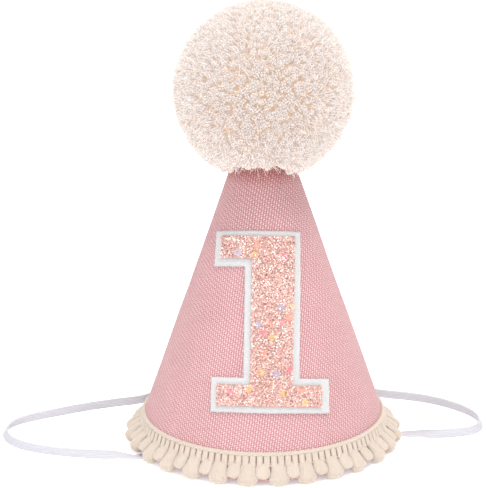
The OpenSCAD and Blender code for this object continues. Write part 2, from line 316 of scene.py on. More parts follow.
def bump(tree, shader, height, distance, strength=1.0):
    made = add(tree, "ShaderNodeBump", Height=height, Distance=distance, Strength=strength)
    tree.links.new(made.outputs[0], shader.inputs["Normal"])


def noise(tree, vector, scale, detail=3.0, roughness=0.5):
    return add(tree, "ShaderNodeTexNoise", Vector=vector, Scale=scale, Detail=detail,
               Roughness=roughness).outputs["Fac"]


def attribute(tree, name):
    return add(tree, "ShaderNodeAttribute", {"attribute_name": name})


def position(tree):
    return add(tree, "ShaderNodeTexCoord").outputs["Object"]


def woven_material(name, pitch, skew, warp_tone, weft_tone, gap, shade_stops=None, slub=0.5,
                   depth=0.00022):
    """Plain-weave cloth from the flat layout in millimetres: threads of two tones with slubs, and
    painted shade in the gaps between them, darker where the threads lie lower. pitch and skew are the
    warp's and the weft's spacing and angle.
    shade_stops are (distance from the apex, tint) of a painted shadow, for a cloth that lies in the ball's
    shade."""
    made, tree, shader = material(name, Roughness=0.9, Sheen_Weight=0.12, Sheen_Roughness=0.5,
                                  Specular_IOR_Level=0.15)
    flat = attribute(tree, "flat").outputs["Vector"]
    wobble = add(tree, "ShaderNodeTexNoise", Vector=flat, Scale=0.2, Detail=2.0).outputs["Color"]
    shift = vector_maths(tree, "MULTIPLY_ADD", "Vector", wobble, (0.7, 0.7, 0.0), flat)
    warp_way = (math.pi / pitch[0] * math.cos(skew[0]), math.pi / pitch[0] * math.sin(skew[0]), 0.0)
    weft_way = (math.pi / pitch[1] * math.sin(skew[1]), math.pi / pitch[1] * math.cos(skew[1]), 0.0)
    wave_x, wave_y = (maths(tree, "SINE", vector_maths(tree, "DOT_PRODUCT", "Value", shift, way))
                      for way in (warp_way, weft_way))
    over = maths(tree, "MULTIPLY", maths(tree, "MULTIPLY", wave_x, wave_y), 0.42)
    warp = maths(tree, "MULTIPLY", maths(tree, "ABSOLUTE", wave_x), maths(tree, "ADD", over, 0.58))
    weft = maths(tree, "MULTIPLY", maths(tree, "ABSOLUTE", wave_y), maths(tree, "SUBTRACT", 0.58, over))
    height = maths(tree, "MAXIMUM", warp, weft)
    long_x = add(tree, "ShaderNodeMapping", Vector=flat, Scale=(1.7, 0.06, 1.0)).outputs[0]
    long_y = add(tree, "ShaderNodeMapping", Vector=flat, Scale=(0.06, 1.7, 1.0)).outputs[0]
    slub_x, slub_y = noise(tree, long_x, 1.0, 2.0), noise(tree, long_y, 1.0, 2.0)
    thread = mix(tree, maths(tree, "GREATER_THAN", warp, weft), weft_tone, warp_tone)
    slubs = maths(tree, "MULTIPLY", maths(tree, "ADD", slub_x, slub_y), 0.5)
    uneven = ramp(tree, slubs, [(0.5 - slub / 2, (0.82, 0.80, 0.80)), (0.5 + slub / 2, (1.0, 1.0, 1.0))])
    # Painted shade: the dark gap colour fills in where the threads lie low
    shade = ramp(tree, height, [(0.25, (0, 0, 0)), (0.8, (1, 1, 1))])
    colour = mix(tree, 1.0, mix(tree, shade, gap, thread), uneven, "MULTIPLY")
    patches = noise(tree, flat, 0.05, 3.0)
    soft = ramp(tree, patches, [(0.3, (0.94, 0.94, 0.94)), (0.7, (1.0, 1.0, 1.0))])
    colour = mix(tree, 1.0, colour, soft, "MULTIPLY")
    # Painted shadow of the ball: the cloth is tinted darker nearer the apex
    if shade_stops:
        reach = 100.0
        away = vector_maths(tree, "LENGTH", "Value", flat)
        stops = [(distance / reach, tint) for distance, tint in shade_stops]
        tint = ramp(tree, maths(tree, "MULTIPLY", away, 1 / reach), stops)
        colour = mix(tree, 1.0, colour, tint, "MULTIPLY")
    paint(tree, shader, colour)
    fuzz = maths(tree, "MULTIPLY", noise(tree, flat, 9.0, 2.0), 0.25)
    bump(tree, shader, maths(tree, "ADD", height, fuzz), depth)
    return made


def yarn_material(name, root, middle, tip, dark_tone, glow, glow_root, glow_tip, softness):
    """Yarn whose colour goes from root to tip with its along, darker towards the root as painted shade
    deep between the strands, and varies from strand to strand. A painted glow, from the emission, stands
    in for light that passes through its loose fibres, warm deep between the strands."""
    made, tree, shader = material(name, Roughness=0.85, Sheen_Weight=0.25, Sheen_Roughness=0.5,
                                  Specular_IOR_Level=0.2, Subsurface_Weight=softness,
                                  Subsurface_Scale=0.005 * softness, Emission_Strength=glow)
    shader.inputs["Subsurface Radius"].default_value = (1.0, 0.75, 0.55)
    along = attribute(tree, "along").outputs["Fac"]
    tone = attribute(tree, "tone").outputs["Fac"]
    # Painted shade: the colour darkens towards the root
    base = ramp(tree, along, [(0.0, root), (1.0, tip), (0.55, middle)])
    varied = ramp(tree, tone, [(0.0, dark_tone), (1.0, (1.0, 1.0, 1.0)), (0.5, (0.97, 0.96, 0.95))])
    fibres = noise(tree, position(tree), 2600.0, 3.0, 0.6)
    streak = ramp(tree, fibres, [(0.3, (0.86, 0.84, 0.82)), (0.7, (1.0, 1.0, 1.0))])
    colour = mix(tree, 1.0, mix(tree, 1.0, base, varied, "MULTIPLY"), streak, "MULTIPLY")
    paint(tree, shader, colour)
    # Painted glow: emission that stands in for light passing through the fibres
    lit = ramp(tree, along, [(0.1, glow_root), (0.9, glow_tip)])
    paint(tree, shader, lit, "Emission Color")
    bump(tree, shader, fibres, 0.00012, 0.8)
    return made


def felt_material(name, light, dark):
    """Pressed felt: short fibres lying every way."""
    made, tree, shader = material(name, Roughness=0.95, Sheen_Weight=0.3, Sheen_Roughness=0.6,
                                  Specular_IOR_Level=0.15)
    layers = []
    for turn, stretch, scale in (((0.6, 0.4, 0.9), (1.0, 0.25, 1.0), 2200.0),
                                 ((0.2, 1.1, 2.1), (0.25, 1.0, 1.0), 2600.0)):
        way = add(tree, "ShaderNodeMapping", Vector=position(tree), Rotation=turn, Scale=stretch)
        layers.append(noise(tree, way.outputs[0], scale, 3.0, 0.6))
    fibres = maths(tree, "MAXIMUM", *layers)
    paint(tree, shader, ramp(tree, fibres, [(0.4, dark), (0.72, light)]))
    bump(tree, shader, fibres, 0.00025)
    return made


def card_material():
    made, tree, shader = material("card", Roughness=0.8, Specular_IOR_Level=0.25)
    place = position(tree)
    pulp = noise(tree, place, 900.0, 4.0, 0.65)
    cloud = noise(tree, place, 60.0, 3.0)
    colour = ramp(tree, pulp, [(0.3, (0.50, 0.42, 0.32)), (0.7, (0.66, 0.58, 0.46))])
    soft = ramp(tree, cloud, [(0.3, (0.9, 0.9, 0.9)), (0.7, (1.0, 1.0, 1.0))])
    paint(tree, shader, mix(tree, 1.0, colour, soft, "MULTIPLY"))
    bump(tree, shader, pulp, 0.00008)
    return made


def foil_material(name, light, dark):
    """A metallic flake with a fine grain and a slight change of tint across it."""
    made, tree, shader = material(name, Roughness=0.4, Metallic=0.25, Coat_Weight=0.2,
                                  Coat_Roughness=0.3)
    place = position(tree)
    cloud = noise(tree, place, 420.0, 2.0)
    paint(tree, shader, ramp(tree, cloud, [(0.35, dark), (0.65, light)]))
    grain = noise(tree, place, 5200.0, 2.0)
    paint(tree, shader, ramp(tree, grain, [(0.3, (0.32,) * 3), (0.7, (0.5,) * 3)]), "Roughness")
    bump(tree, shader, grain, 0.00002)
    return made


def glitter_material():
    """The glitter sheet's ground between its loose flakes: packed specks of several tints."""
    made, tree, shader = material("glitter", Roughness=0.42, Metallic=0.15, Coat_Weight=0.4,
                                  Coat_Roughness=0.25)
    flat = attribute(tree, "flat").outputs["Vector"]
    cells = add(tree, "ShaderNodeTexVoronoi", {"feature": "F1"}, Vector=flat, Scale=2.6)
    tint = add(tree, "ShaderNodeSeparateColor", Color=cells.outputs["Color"])
    colour = ramp(tree, tint.outputs[0], [
        (0.0, (0.42, 0.20, 0.18)), (1.0, (0.92, 0.85, 0.78)), (0.16, (0.72, 0.40, 0.36)),
        (0.5, (0.80, 0.50, 0.45)), (0.75, (0.84, 0.58, 0.50)), (0.9, (0.80, 0.44, 0.44))])
    edge = ramp(tree, cells.outputs["Distance"], [(0.0, (1, 1, 1)), (0.6, (0.72, 0.66, 0.62))])
    paint(tree, shader, mix(tree, 1.0, colour, edge, "MULTIPLY"))
    bump(tree, shader, tint.outputs[1], 0.00012)
    return made


def tint_material(name, roughness, stops, **plain):
    """Small shiny flakes, each with its own tint from its tone."""
    made, tree, shader = material(name, Roughness=roughness, **plain)
    tone = attribute(tree, "tone").outputs["Fac"]
    paint(tree, shader, ramp(tree, tone, stops))
    grain = noise(tree, position(tree), 6000.0, 2.0)
    uneven = ramp(tree, grain, [(0.3, (roughness - 0.08,) * 3), (0.7, (roughness + 0.1,) * 3)])
    paint(tree, shader, uneven, "Roughness")
    return made


def elastic_material():
    """Knitted elastic: ribs along it and fine courses across, from its own layout, with painted shade in
    the hollows between them.
    """
    course_pitch = 0.3
    rib_pitch = 0.66
    made, tree, shader = material("elastic", Roughness=0.6, Sheen_Weight=0.2, Specular_IOR_Level=0.35)
    flat = attribute(tree, "flat").outputs["Vector"]
    parts = add(tree, "ShaderNodeSeparateXYZ", Vector=flat)
    courses = maths(tree, "SINE", maths(tree, "MULTIPLY", parts.outputs[0], 2 * math.pi / course_pitch))
    ribs = maths(tree, "SINE", maths(tree, "MULTIPLY", parts.outputs[1], 2 * math.pi / rib_pitch))
    knit = maths(tree, "MULTIPLY_ADD", courses, 0.12, ribs)
    fuzz = noise(tree, flat, 1.2, 3.0)
    height = maths(tree, "MULTIPLY_ADD", fuzz, 0.5, knit)
    # Painted shade: the colour is darker where the knit lies lower, in the hollows between ribs; the fuzz
    # also varies it at random
    level = maths(tree, "MULTIPLY_ADD", height, 0.3, 0.5)
    paint(tree, shader, ramp(tree, level, [(0.1, (0.54, 0.54, 0.585)), (0.8, (0.65, 0.64, 0.69))]))
    bump(tree, shader, height, 0.0001)
    return made


def thread_material():
    made, tree, shader = material("thread", Roughness=0.55, Sheen_Weight=0.3)
    ply = noise(tree, position(tree), 4000.0, 2.0)
    paint(tree, shader, ramp(tree, ply, [(0.3, (0.72, 0.72, 0.74)), (0.7, (0.88, 0.88, 0.90))]))
    bump(tree, shader, ply, 0.00005)
    return made


LINEN_SKEW = (math.radians(8), math.radians(13))
# Painted shadow of the ball on the linen: tints by distance from the apex, darkest just under the ball
BALL_SHADE = [(33.0, (0.62, 0.38, 0.34)), (50.0, (1.0, 1.0, 1.0)), (38.0, (0.79, 0.60, 0.57)),
              (43.0, (0.96, 0.93, 0.93))]
TIE_COLOUR = (0.47, 0.40, 0.35)
MATERIALS = {
    "linen": woven_material("linen", (0.98, 0.84), LINEN_SKEW, (0.82, 0.60, 0.61), (0.71, 0.40, 0.42),
                            (0.45, 0.20, 0.21), BALL_SHADE, depth=0.00016),
    "lining": woven_material("lining", (0.6, 0.6), (0.0, 0.0), (0.84, 0.80, 0.75), (0.74, 0.69, 0.64),
                             (0.42, 0.38, 0.34)),
    "felt": felt_material("felt", (0.63, 0.63, 0.64), (0.52, 0.52, 0.53)),
    "card": card_material(),
    "glitter": glitter_material(),
    # The yarns' darker roots are painted shade, and their emission is a painted glow
    "yarn": yarn_material("yarn", (0.57, 0.40, 0.28), (0.50, 0.41, 0.34), (0.44, 0.385, 0.365),
                          (0.94, 0.91, 0.88), 0.5, (0.76, 0.58, 0.43), (0.53, 0.47, 0.45), softness=0.7),
    "yarn_fuzz": yarn_material("yarn_fuzz", (0.56, 0.51, 0.48), (0.56, 0.51, 0.48), (0.52, 0.49, 0.48),
                               (0.95, 0.93, 0.92), 0.5, (0.58, 0.52, 0.50), (0.60, 0.56, 0.55),
                               softness=0.7),
    # The tie's meshes say nothing of root and tip, so it is one colour with its fibres' streaks
    "tie_yarn": yarn_material("tie_yarn", TIE_COLOUR, TIE_COLOUR, TIE_COLOUR, (0.98, 0.97, 0.96), 0.5,
                              (0.57, 0.48, 0.45), (0.57, 0.48, 0.45), softness=0.7),
    "trim": yarn_material("trim", (0.32, 0.24, 0.18), (0.53, 0.44, 0.36), (0.64, 0.56, 0.49),
                          (0.93, 0.90, 0.86), 0.2, (0.09, 0.06, 0.04), (0.15, 0.13, 0.12), softness=0.25),
    "elastic": elastic_material(),
    "thread": thread_material(),
    "flake_gold": foil_material("flake_gold", (0.74, 0.50, 0.24), (0.66, 0.42, 0.17)),
    "flake_coral": foil_material("flake_coral", (0.80, 0.36, 0.27), (0.74, 0.29, 0.21)),
    "flake_pink": foil_material("flake_pink", (0.78, 0.29, 0.33), (0.70, 0.21, 0.26)),
    "flake_lilac": foil_material("flake_lilac", (0.50, 0.42, 0.52), (0.38, 0.34, 0.48)),
    "specks": tint_material("specks", 0.3, [
        (0.0, (0.34, 0.16, 0.14)), (1.0, (1.0, 0.96, 0.88)), (0.18, (0.72, 0.38, 0.34)),
        (0.45, (0.82, 0.52, 0.47)), (0.62, (0.88, 0.66, 0.54)), (0.8, (0.84, 0.50, 0.50))],
        Metallic=0.4, Coat_Weight=0.5),
}


def dress(obj, material_name, body=BODY, node=None):
    """Gives a piece its material, the body that it rides on and the CAD node that it stands for."""
    obj.data.materials.clear()
    obj.data.materials.append(MATERIALS[material_name])
    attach(obj, body)
    if node:
        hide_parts(node)


# ---- Camera, lights and floor ----

CAMERA_DISTANCE = 900.0
CAMERA_PITCH = math.radians(17.5)
CAMERA_AIM = Vector((0.0, 0.0, 80.0))
CAMERA_LENS = 166.72
CAMERA_SHIFT = (-0.0416, 0.0088)


def make_camera():
    """A long lens that looks down at the hat a little. Its small shift leaves room for the strap's
    longer side."""
    data = bpy.data.cameras.new("camera")
    data.sensor_width = 36.0
    data.lens = CAMERA_LENS
    data.shift_x, data.shift_y = CAMERA_SHIFT
    data.clip_start = 0.05
    data.clip_end = 20.0
    camera = bpy.data.objects.new("camera", data)
    back = Vector((0.0, -math.cos(CAMERA_PITCH), math.sin(CAMERA_PITCH)))
    camera.location = (CAMERA_AIM + back * CAMERA_DISTANCE) * MM
    camera.rotation_mode = "QUATERNION"
    camera.rotation_quaternion = (-back).to_track_quat("-Z", "Y")
    bpy.context.scene.collection.objects.link(camera)
    bpy.context.scene.camera = camera


def make_light(name, place, size, power, colour=(1.0, 1.0, 1.0)):
    data = bpy.data.lights.new(name, "AREA")
    data.shape = "DISK"
    data.size = size
    data.energy = power
    data.color = colour
    light = bpy.data.objects.new(name, data)
    light.location = place
    light.rotation_mode = "QUATERNION"
    light.rotation_quaternion = (Vector((0, 0, 0.08)) - Vector(place)).to_track_quat("-Z", "Y")
    bpy.context.scene.collection.objects.link(light)


def make_studio():
    make_light("key", (0.18, -0.45, 1.5), 0.8, 17.0, (1.0, 0.985, 0.97))
    make_light("fill_left", (-1.2, -1.0, 0.7), 1.2, 9.5, (0.97, 0.98, 1.0))
    make_light("fill_right", (1.2, -0.9, 0.6), 1.0, 5.5)
    make_light("rim", (0.1, 1.3, 1.1), 1.0, 8.0)
    world = bpy.data.worlds.new("studio")
    world.use_nodes = True
    background = world.node_tree.nodes["Background"]
    background.inputs["Color"].default_value = (1.0, 1.0, 1.0, 1.0)
    background.inputs["Strength"].default_value = 0.58
    bpy.context.scene.world = world
    bpy.context.scene.view_settings.view_transform = "Standard"

    floor_size = 4000.0
    n = 9
    edge = np.linspace(-floor_size, floor_size, n)
    x, y = np.meshgrid(edge, edge, indexing="ij")
    points = np.stack([x, y, np.zeros_like(x)], -1).reshape(-1, 3)
    floor = make_mesh("floor", points, grid_quads(n, n)[:, ::-1])
    paper, tree, shader = material("paper_floor", Roughness=0.95, Specular_IOR_Level=0.0)
    grain = noise(tree, position(tree), 300.0)
    paint(tree, shader, ramp(tree, grain, [(0.3, (0.93, 0.93, 0.93)), (0.7, (0.95, 0.95, 0.95))]))
    shader.inputs["Emission Color"].default_value = (1.0, 1.0, 1.0, 1.0)
    shader.inputs["Emission Strength"].default_value = 0.36
    floor.data.materials.append(paper)


make_camera()
make_studio()


# ---- The chin strap ----

STRAP_W = 3.6
STRAP_T = 0.8
LEFT_END_ANGLE = math.radians(-154.3)
RIGHT_END_ANGLE = 0.0
STRAP_CLIMB = [(41.4, 22), (42.3, 19.4), (43.4, 16), (44.3, 13), (44.8, 10), (44.9, 7),
               (45.4, 4.6), (46.7, 2.6), (48.6, 1.3), (50.4, 0.8), (52.5, 0.6), (57, 0.7)]
STRAP_LOOP = [
    (-58, -24.8, 1.5, 60), (-64, -24.8, 1.8, 38), (-71, -24.2, 1.95, 24), (-79, -22.7, 1.95, 16),
    (-87, -20.4, 1.95, 15), (-94.5, -17, 1.95, 22), (-101, -11.5, 1.85, 34),
    (-104.8, -4, 1.75, 42), (-105, 3.5, 1.75, 42), (-101.5, 10, 1.85, 34), (-94, 15.8, 1.95, 22),
    (-85, 20.8, 1.95, 15), (-74.5, 26.3, 1.95, 15), (-63, 31, 1.95, 15), (-52, 35, 1.95, 15),
    (-44.5, 41.5, 1.95, 15), (-36, 49, 1.95, 15), (-25, 55.5, 1.95, 15), (-12, 59.6, 1.95, 15),
    (2, 61, 1.95, 15), (16, 58.8, 1.95, 15), (28.5, 53.8, 1.95, 15), (39.5, 47.2, 1.95, 15),
    (50, 42, 1.95, 15), (61, 38.8, 1.95, 15), (70.5, 34.8, 1.95, 15), (78.5, 29, 1.95, 18),
    (85.5, 21.5, 1.9, 26), (89.2, 14, 1.8, 38), (89.2, 6.5, 1.75, 42), (86, 1.2, 1.85, 32),
    (80, -1.7, 1.95, 22), (72, -3, 1.85, 32), (64, -2.3, 1.6, 60)]


def climb_point(point, angle):
    return (point[0] * math.cos(angle), point[0] * math.sin(angle), point[1], 90)


STRAP_ROUTE = np.array(
    [climb_point(p, LEFT_END_ANGLE) for p in STRAP_CLIMB] + STRAP_LOOP
    + [climb_point(p, RIGHT_END_ANGLE) for p in reversed(STRAP_CLIMB)])


def smooth_line(route, steps):
    """A smooth curve through the route's points, with steps points for each stretch."""
    p = np.concatenate([route[:1], route, route[-1:]])
    u = (np.arange(steps) / steps)[None, :, None]
    a, b, c, d = (p[k:len(p) - 3 + k, None] for k in range(4))
    curve = 0.5 * (2 * b + (c - a) * u + (2 * a - 5 * b + 4 * c - d) * u ** 2
                   + (3 * b - a - 3 * c + d) * u ** 3)
    return np.concatenate([curve.reshape(-1, route.shape[1]), route[-1:]])


def make_strap():
    """The elastic as a flat ribbon with ribs along it."""
    line = smooth_line(STRAP_ROUTE, 16)
    centre, lean = line[:, :3], line[:, 3]
    # The elastic stands a little more upright than its solid, and as flat where it lies flat
    turn = np.radians(lean * (0.2 + 0.8 * np.clip((lean - 20) / 40, 0, 1)))[:, None]
    along = unit(np.gradient(centre, axis=0))
    side = unit(np.cross(along, [0.0, 0.0, 1.0]))
    up = np.cross(side, along)
    wide = up * np.cos(turn) + side * np.sin(turn)
    thin = side * np.cos(turn) - up * np.sin(turn)
    ribs = 6
    per_side = ribs * 4 + 1
    across = np.linspace(-1, 1, per_side)
    depth = 1 - 0.16 * (0.5 + 0.5 * np.cos(across * ribs * np.pi)) - 0.55 * np.abs(across) ** 14
    w = STRAP_W / 2 * np.concatenate([across, across[::-1]])
    t = STRAP_T / 2 * np.concatenate([depth, -depth[::-1]])
    points = centre[:, None] + wide[:, None] * w[:, None] + thin[:, None] * t[:, None]
    rows, columns = points.shape[:2]
    quads = grid_quads(rows, columns, closed=True)
    caps = []
    for row, order in ((0, 1), (rows - 1, -1)):
        ids = row * columns + np.arange(per_side)
        others = row * columns + columns - 1 - np.arange(per_side)
        caps.append(np.stack([ids[:-1], ids[1:], others[1:], others[:-1]], -1)[:, ::order])
    length = np.concatenate([[0], np.cumsum(np.linalg.norm(np.diff(centre, axis=0), axis=1))])
    flat = np.zeros((rows, columns, 3))
    flat[..., 0] = length[:, None]
    flat[..., 1] = w
    strap = make_mesh("strap_ribbon", points.reshape(-1, 3), np.concatenate([quads, *caps]),
                      vectors={"flat": flat.reshape(-1, 3)})
    dress(strap, "elastic", node="elastic_strap")


make_strap()


# ---- Cone: linen, card and lining ----

SEAM_ANGLE = math.radians(90)
LAP = 8.0


def cloth_profile(low_z, high_z, turn_z):
    """The linen's section from the tip, down the outside, round the hem and up the inside, as
    (height, lift off the linen's face, distance down)."""
    rows = [(z, 0.0) for z in np.linspace(high_z, low_z + 0.6, 90)]
    hem_t = 2 * CLOTH_T + CARD_T
    for a in np.linspace(0.2, math.pi - 0.2, 9):
        rows.append((low_z + 0.45 - 0.45 * math.sin(a), -hem_t / 2 + hem_t / 2 * math.cos(a)))
    rows += [(z, -hem_t) for z in np.linspace(low_z + 0.6, turn_z, 12)]
    return np.array(rows)


def make_cover():
    """The linen: a cone of cloth with slight unevenness, a lapped seam at the back, a turned hem and
    its own thickness."""
    profile = cloth_profile(HEM_Z, TIP_Z, LINING_LOW_Z - 0.3)
    columns = 300
    # The cloth starts at the back, goes once round and ends in a lap over its start
    angles = SEAM_ANGLE + ring_angles(columns)
    z, lift = profile[:, :1], profile[:, 1:]
    grid_z = np.broadcast_to(z, (len(profile), columns))
    outer = np.broadcast_to(lift > -0.3, grid_z.shape)
    rough = on_cone(angles[None], grid_z, 0.0)
    wave = value_noise(rough, 23, 5) * 0.16 + value_noise(rough, 9, 6) * 0.06
    flare = 0.5 * np.clip(1 - (grid_z - HEM_Z) / 16, 0, 1) ** 2
    start = np.angle(np.exp(1j * (angles - SEAM_ANGLE)))[None] * cone_r(grid_z)
    in_lap = np.clip((LAP / 2 - np.abs(start)) / 0.7, 0, 1)
    on_top = outer * (wave + 0.5 * in_lap) + flare
    points = on_cone(angles[None], grid_z, lift + on_top)
    down = (APEX_Z - grid_z) / COS_HALF
    turn = (angles[None] + np.pi / 2 + np.pi) % (2 * np.pi) - np.pi
    spread = turn * SIN_HALF
    flat = np.stack([down * np.sin(spread), down * np.cos(spread), lift + 0 * down], -1)
    quads = grid_quads(*grid_z.shape, closed=True)[:, ::-1]
    cover = make_mesh("linen_cover", points.reshape(-1, 3), quads, vectors={"flat": flat.reshape(-1, 3)})
    thick = cover.modifiers.new("thickness", "SOLIDIFY")
    thick.thickness = CLOTH_T * 0.8 * MM
    thick.offset = -1.0
    dress(cover, "linen", node="fabric_cover")


def make_lining():
    """The cotton lining: a thin cone inside the card, slightly uneven on the side that shows."""
    rows, columns = 60, 200
    z = np.linspace(LINING_LOW_Z - 0.1, LINING_TOP_Z, rows)[:, None]
    angles = ring_angles(columns)[None]
    depth = CLOTH_T + CARD_T
    base = on_cone(angles, z + 0 * angles, 0.0)
    rough = value_noise(base, 15, 21) * 0.1
    outside = on_cone(angles, z + 0 * angles, -depth - 0.05)
    inside = on_cone(angles, z + 0 * angles, -depth - CLOTH_T - 0.05 + rough)
    points = np.concatenate([inside, outside[::-1]])
    down = (APEX_Z - z) / COS_HALF + 0 * angles
    spread = (angles - np.pi) * SIN_HALF
    one = np.stack([down * np.sin(spread), down * np.cos(spread), 0 * down], -1)
    flat = np.concatenate([one, one[::-1]])
    lining = make_mesh("cotton_lining", points.reshape(-1, 3), section_quads(2 * rows, columns),
                       vectors={"flat": flat.reshape(-1, 3)})
    dress(lining, "lining", node="lining_cone")


make_cover()
make_lining()


# ---- Numeral ----

# Across the cloth: the stem's two sides, the flag's tip and the base's two ends. Down the cloth from
# the apex: the numeral's top, its height, and the depths of its flag and base
STEM = (-7.3, 14.4)
FLAG_TIP = -20.8
BASE = (-20.3, 27.3)
NUMERAL_TOP = 59.6
NUMERAL_H = 70.7
FLAG_H = 14.0
BASE_H = 13.6
NUMERAL_LEAN = math.radians(1.0)
# The felt that shows round the glitter
FACE_TOP = 2.1
FACE_BOTTOM = 2.6
FACE_STEM = (2.8, 3.1)
FACE_FLAG = (4.0, 3.1)
FACE_BASE = (2.9, 3.9, 2.7)
FELT_T = 1.6
GLITTER_T = 0.9
CLEAR = 0.05
FELT_LIFT = 2 * CLEAR
GLITTER_LIFT = FELT_LIFT + FELT_T + CLEAR


def lean_flat(flat):
    """Flat points turned by the numeral's lean about its middle."""
    centre = np.array([sum(STEM) / 2, NUMERAL_TOP + NUMERAL_H / 2])
    c, s = math.cos(NUMERAL_LEAN), math.sin(NUMERAL_LEAN)
    d = flat - centre
    return centre + np.stack([d[..., 0] * c - d[..., 1] * s, d[..., 0] * s + d[..., 1] * c], -1)


def numeral_outline(top, bottom, stem, flag_x, flag_y, base, base_y):
    """The corners of a numeral one, clockwise from its top left."""
    return [(flag_x, top), (stem[1], top), (stem[1], base_y), (base[1], base_y), (base[1], bottom),
            (base[0], bottom), (base[0], base_y), (stem[0], base_y), (stem[0], flag_y), (flag_x, flag_y)]


NUMERAL_FOOT = NUMERAL_TOP + NUMERAL_H
FELT_OUTLINE = numeral_outline(NUMERAL_TOP, NUMERAL_FOOT, STEM, FLAG_TIP, NUMERAL_TOP + FLAG_H, BASE,
                               NUMERAL_FOOT - BASE_H)
FACE_OUTLINE = numeral_outline(
    NUMERAL_TOP + FACE_TOP, NUMERAL_FOOT - FACE_BOTTOM, (STEM[0] + FACE_STEM[0], STEM[1] - FACE_STEM[1]),
    FLAG_TIP + FACE_FLAG[0], NUMERAL_TOP + FLAG_H - FACE_FLAG[1],
    (BASE[0] + FACE_BASE[0], BASE[1] - FACE_BASE[1]), NUMERAL_FOOT - BASE_H + FACE_BASE[2])


def inside_distance(points, outline):
    """How far each flat point is inside the outline, negative outside it."""
    outline = np.array(outline, float)
    best = np.full(points.shape[:-1], 1e9)
    inside = np.zeros(points.shape[:-1], bool)
    for a, b in zip(outline, np.roll(outline, -1, 0)):
        d = b - a
        t = np.clip(((points - a) @ d) / (d @ d), 0, 1)
        best = np.minimum(best, np.linalg.norm(points - (a + t[..., None] * d), axis=-1))
        crosses = (a[1] > points[..., 1]) != (b[1] > points[..., 1])
        slope_x = a[0] + (points[..., 1] - a[1]) * d[0] / (d[1] if d[1] else 1e-9)
        inside ^= crosses & (points[..., 0] < slope_x)
    return np.where(inside, best, -best)


def grid_lines(edges, size):
    """Evenly spaced values through every edge, about size apart."""
    edges = sorted(set(edges))
    out = []
    for a, b in zip(edges[:-1], edges[1:]):
        n = max(1, round((b - a) / size))
        out += list(a + (b - a) * np.arange(n) / n)
    return np.array(out + [edges[-1]])


def wrapped_numeral(name, outline, size, lift, thickness, rounding, roughness, seed):
    """A slab in the numeral's shape: a grid of cells wrapped on the cone, with a rounded edge and an
    uneven face."""
    xs = grid_lines([p[0] for p in outline], size)
    ys = grid_lines([p[1] for p in outline], size)
    gx, gy = np.meshgrid(xs, ys, indexing="ij")
    flat = np.stack([gx, gy], -1)
    middle = (flat[:-1, :-1] + flat[1:, 1:]) / 2
    filled = inside_distance(middle, outline) > 0
    depth = np.maximum(inside_distance(flat, outline), 0)
    edge = np.clip(depth / rounding, 0, 1)
    dome = np.sqrt(np.clip(1 - (1 - edge) ** 2, 0, 1))
    flat3 = np.concatenate([flat, 0 * gx[..., None]], -1)
    uneven = (value_noise(flat3, 2.6, seed) + 0.6 * value_noise(flat3, 0.9, seed + 1)) * roughness
    wobble = vector_noise(flat3, 1.4, seed + 2)[..., :2] * 0.12 * (1 - edge)[..., None]
    place = lean_flat(flat + wobble)
    face = lift + thickness * (0.55 + 0.45 * dome) + uneven * dome
    n = gx.size
    ids = np.arange(n).reshape(gx.shape)
    cells = np.stack([ids[:-1, :-1], ids[1:, :-1], ids[1:, 1:], ids[:-1, 1:]], -1)
    cell = cells[filled]
    quads = [cell + n, cell[:, ::-1]]
    # Each open side of a filled cell gets a wall
    padded = np.pad(filled, 1)
    for dx, dy, a, b in ((-1, 0, 3, 0), (1, 0, 1, 2), (0, -1, 0, 1), (0, 1, 2, 3)):
        empty = ~padded[1 + dx:padded.shape[0] - 1 + dx, 1 + dy:padded.shape[1] - 1 + dy]
        corners = cells[filled & empty]
        quads.append(np.stack([corners[:, a], corners[:, b], corners[:, b] + n, corners[:, a] + n], -1))
    points = np.concatenate([wrap(place, level).reshape(-1, 3) for level in (lift + 0 * gx, face)])
    flat_all = np.concatenate([flat3.reshape(-1, 3)] * 2)
    quads = np.concatenate(quads)[:, ::-1]
    used, inverse = np.unique(quads, return_inverse=True)
    return make_mesh(name, points[used], inverse.reshape(quads.shape),
                     vectors={"flat": flat_all[used]})


def scattered_in(outline, count, inset, rng):
    """Random flat points inside an outline, at least inset from its edge."""
    outline = np.array(outline)
    low, high = outline.min(0), outline.max(0)
    points = rng.uniform(low, high, (count * 3, 2))
    return points[inside_distance(points, outline) > inset][:count]


def surface_frame(flat, lift):
    """A wrapped point with two directions along the surface and one out of it."""
    step = 0.01
    here = wrap(flat, lift)
    across = unit(wrap(flat + np.array([step, 0]), lift) - here)
    down = unit(wrap(flat + np.array([0, step]), lift) - here)
    return here, across, down, unit(np.cross(down, across))


SPECKS = 7200
SPECK_T = 0.05
OVER_CONFETTI = 0.28


